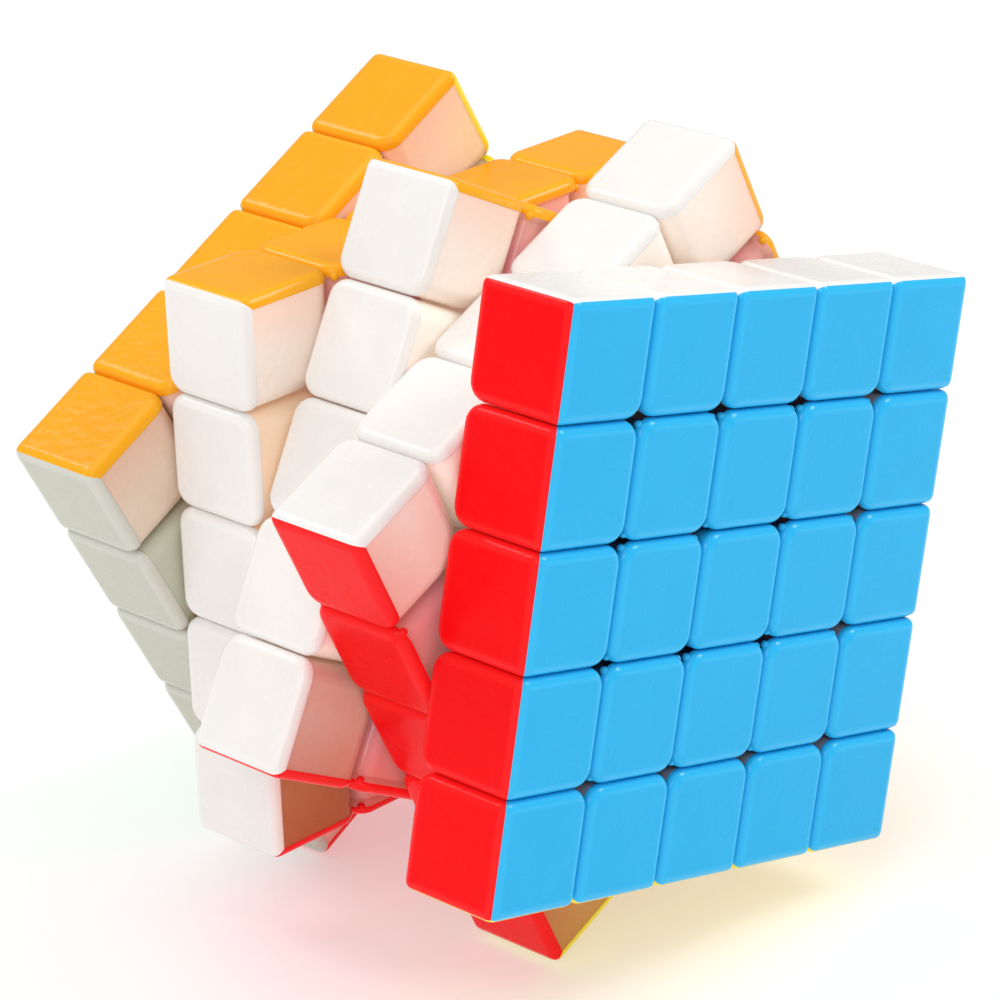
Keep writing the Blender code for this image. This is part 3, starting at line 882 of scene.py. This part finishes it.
def cubie(cell, layer_name, turn, body):
    """One cubie in its place, with caps in its colours."""
    colours, place = turned_cubie(cell)
    if len(colours) == 1:
        shape, outer = centre_shape(-CELL + CLEAR, BOWL), (2,)
    elif len(colours) == 2:
        shape, outer = boxed((2, 0)), (2, 0)
    else:
        shape, outer = boxed((0, 1, 2)), (0, 1, 2)
    has_plate = len(colours) == 1 and colours != ("white",)
    coloured(shape, outer, PINK_BASE_SHARE if has_plate else BASE_SHARE)
    if has_plate:
        add_tabs(shape)
    for extra in foot_of(cell):
        add_to(shape, extra, place.inverted())
    has_painted_shade = painted_shade_key(colours, layer_name) in PAINTED_SHADES
    materials = [material(base_material, colours, layer_name if has_painted_shade else "any")]
    for colour in colours:
        materials.append(material(cap_material, colour, colour == "white" and "green" in colours))
    made = object_from(shape, piece_name(cell, layer_name), materials)
    made.matrix_world = turn @ place
    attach(made, body)
    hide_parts(cad_node(cell))


def is_fixed_centre(cell):
    return sorted(abs(value) for value in cell) == [0, 0, OUTER]


def is_on_surface(cell):
    return max(abs(value) for value in cell) == OUTER


def cubies():
    steps = range(-OUTER, OUTER + 1)
    for layer_name, (index, body, node) in LAYERS.items():
        turn = STACK @ Matrix.Rotation(layer_turn(node), 4, "Z")
        for column in steps:
            for row in steps:
                cell = (column, row, index)
                if is_on_surface(cell) and not is_fixed_centre(cell):
                    cubie(cell, layer_name, turn, body)


# Fixed centres.


def cap_piece(colour):
    """The tile of a fixed centre, with a round plug under it. Its frame is at the middle of its cell."""
    middle = HALF - CELL
    under = CAP_UNDER - middle
    inner = PLUG_R - PLUG_WALL
    low = PLUG_END - middle
    root, ceiling, lead = under + PLUG_LEAD, under - PLUG_LEAD, low + PLUG_LEAD
    outside = [(0, root), (PLUG_R, root), (PLUG_R, lead), (PLUG_R - PLUG_LEAD, low)]
    inside = [(inner + PLUG_LEAD / 2, low), (inner, lead), (inner, ceiling), (0, ceiling)]
    shape = centre_shape(under, TILE_FILLET)
    add_to(shape, turned(outside + inside), Matrix.Identity(4))
    return object_from(shape, "tile_" + colour, [material(cap_material, colour, False)])


def socket_head(top, seat):
    """The square head of a fixed centre, with a small fillet on top and a wider one at its seat."""
    half = (CELL - CLEAR) * BASE_SHARE
    rings = []
    for angle in quarter_turns():
        inset = SOCKET_RIM * (1 - math.sin(angle))
        height = top - SOCKET_RIM * (1 - math.cos(angle))
        rings.append(square_ring(half - inset, PLAN - inset, height))
    for angle in quarter_turns():
        inset = SOCKET_ROOT * (1 - math.cos(angle))
        height = seat + SOCKET_ROOT * (1 - math.sin(angle))
        rings.append(square_ring(half - inset, PLAN, height))
    return loft(rings)


def base_piece(colour):
    """A fixed centre under its cap: a rounded head on a stepped stem, hollow for the screw and spring."""
    middle = HALF - CELL
    seat, step, end = SEAT - middle, STEM_STEP - middle, STEM_END - middle
    stem = [(0, seat + OVERLAP), (STEM_R, seat + OVERLAP), (STEM_R, step),
            (STEM_TIP_R, step - STEM_CONE), (STEM_TIP_R, end), (0, end)]
    floor_height = WELL_FLOOR - middle
    well = [(0, HALF), (WELL_R, HALF), (WELL_R, floor_height), (PILOT_R, floor_height),
            (PILOT_R, -middle), (0, -middle)]
    head = socket_head(CENTRE_TOP - middle, seat)
    made = object_from(head, "socket_" + colour, [material(pink_material)])
    combine(made, "UNION", object_from(turned(stem), "stem", []))
    return combine(made, "DIFFERENCE", object_from(turned(well), "well", []))


def recess_slot(turn):
    """One of the two slots of a screw's cross recess."""
    slot = bmesh.new()
    bmesh.ops.create_cube(slot, size=2)
    size = Matrix.Diagonal((RECESS_REACH, RECESS_HALF, RECESS_DEPTH, 1))
    place = Matrix.Translation((0, 0, SCREW_HEAD_TOP)) @ Matrix.Rotation(turn, 4, "Z")
    bmesh.ops.transform(slot, matrix=place @ size, verts=slot.verts)
    return object_from(slot, "slot", [])


def screw_piece(colour):
    """A pan-head screw with a rounded head, a cross recess and a rolled thread."""
    head = [(0, SCREW_HEAD_TOP)]
    for angle in quarter_turns():
        radius = SCREW_HEAD_R - SCREW_DOME * (1 - math.sin(angle))
        head.append((radius, SCREW_HEAD_TOP - SCREW_DOME * (1 - math.cos(angle))))
    head += [(SCREW_HEAD_R, SCREW_HEAD_LOW), (0, SCREW_HEAD_LOW)]
    made = object_from(turned(head), "screw_" + colour, [material(steel_material)])
    combine(made, "DIFFERENCE", recess_slot(0), recess_slot(math.pi / 2))
    shape = bmesh.new()
    shape.from_mesh(made.data)
    add_to(shape, thread_shape(), Matrix.Identity(4))
    shape.to_mesh(made.data)
    shape.free()
    made.data.transform(Matrix.Translation((0, 0, CELL - HALF)))
    return made


def thread_shape():
    """The screw's shank: plain under the head, then a helical ridge that runs out at the tip."""
    high = SCREW_HEAD_LOW + SHANK_LAP
    count = round((high - SCREW_TIP) / THREAD_PITCH * THREAD_RINGS_A_TURN)
    rings = []
    for k in range(count + 1):
        height = high + (SCREW_TIP - high) * k / count
        tip = min(1, POINT_SHARE + (1 - POINT_SHARE) * (height - SCREW_TIP) / POINT_LENGTH)
        is_threaded = height < SCREW_HEAD_LOW - PLAIN_SHANK
        ring = []
        for i in range(THREAD_POINTS_A_RING):
            share = i / THREAD_POINTS_A_RING
            ridge = abs(2 * ((height / THREAD_PITCH - share) % 1) - 1) if is_threaded else 1
            radius = (SHANK_R - THREAD_DEPTH * (1 - ridge)) * tip
            angle = 2 * math.pi * share
            ring.append((radius * math.cos(angle), radius * math.sin(angle), height))
        rings.append(ring)
    return loft(rings)


def spring_piece(colour):
    """A compression spring round the screw."""
    curve = bpy.data.curves.new("spring_" + colour, "CURVE")
    curve.dimensions = "3D"
    curve.bevel_depth = SPRING_WIRE_R
    curve.bevel_resolution = SPRING_WIRE_STEPS
    curve.use_fill_caps = True
    low = WELL_FLOOR + SPRING_CLEAR + SPRING_WIRE_R - (HALF - CELL)
    high = SCREW_HEAD_LOW - SPRING_CLEAR - SPRING_WIRE_R - (HALF - CELL)
    count = SPRING_TURNS * SPRING_POINTS_A_TURN
    spline = curve.splines.new("POLY")
    spline.points.add(count)
    for i, point in enumerate(spline.points):
        angle = 2 * math.pi * i / SPRING_POINTS_A_TURN
        height = low + (high - low) * i / count
        point.co = (SPRING_R * math.cos(angle), SPRING_R * math.sin(angle), height, 1)
    curve.materials.append(material(steel_material))
    made = bpy.data.objects.new("spring_" + colour, curve)
    bpy.context.scene.collection.objects.link(made)
    return made


def fixed_centres():
    layer_of = {"blue": "front", "green": "back"}
    for colour, way in FACE_WAYS.items():
        _, body, node = LAYERS[layer_of.get(colour, "middle")]
        turn = STACK @ Matrix.Rotation(layer_turn(node), 4, "Z")
        cell = tuple(OUTER * value for value in way)
        _, place = turned_cubie(cell)
        parts = (
            (cap_piece, "cap_" + colour, "centre_cap_" + colour, colour),
            (base_piece, body, "centre_base_" + colour, "pink"),
            (screw_piece, "screw_" + colour, "tension_screw_" + colour, "steel"),
            (spring_piece, "middle_layer", "tension_spring_" + colour, "steel"),
        )
        for build, rides_on, replaced, slot in parts:
            made = build(colour)
            made.matrix_world = turn @ place
            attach(made, rides_on)
            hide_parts(replaced)


def core():
    """The core keeps its CAD shape."""
    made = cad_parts["core_spider"]
    made.data.materials.clear()
    made.data.materials.append(material(pink_material))


# The studio.


def floor():
    bpy.ops.mesh.primitive_plane_add(size=FLOOR_SIZE, location=(0, 0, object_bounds()[0].z))
    made = bpy.context.object
    made.name = "floor"
    made.data.materials.append(floor_material())
    made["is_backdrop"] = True


def softbox(name, at, size, power):
    """A square soft light aimed at the cube."""
    light = bpy.data.lights.new(name, "AREA")
    light.shape = "SQUARE"
    light.size = size
    light.energy = power
    made = bpy.data.objects.new(name, light)
    bpy.context.scene.collection.objects.link(made)
    made.location = at
    made.rotation_euler = (-Vector(at)).to_track_quat("-Z", "Y").to_euler()


def lights():
    for name, (at, size, power) in LIGHTS.items():
        softbox(name, at, size, power)
    world = bpy.data.worlds.new("studio")
    world.use_nodes = True
    background = world.node_tree.nodes["Background"]
    background.inputs["Color"].default_value = (1, 1, 1, 1)
    background.inputs["Strength"].default_value = WORLD_STRENGTH
    bpy.context.scene.world = world
    bpy.context.scene.view_settings.view_transform = "Standard"


def camera():
    """Seen from the front left and above, about half a metre off, through a long lens."""
    look = Vector(CAMERA_LOOK).normalized()
    right = look.cross(Vector(CAMERA_UP)).normalized()
    up = right.cross(look)
    turn = Matrix((right, up, -look)).transposed().to_4x4()
    made = bpy.data.objects.new("camera", bpy.data.cameras.new("camera"))
    made.data.lens = CAMERA_LENS
    made.matrix_world = Matrix.Translation(CAMERA_AT) @ turn
    bpy.context.scene.collection.objects.link(made)
    bpy.context.scene.camera = made


cubies()
fixed_centres()
core()
floor()
lights()
camera()
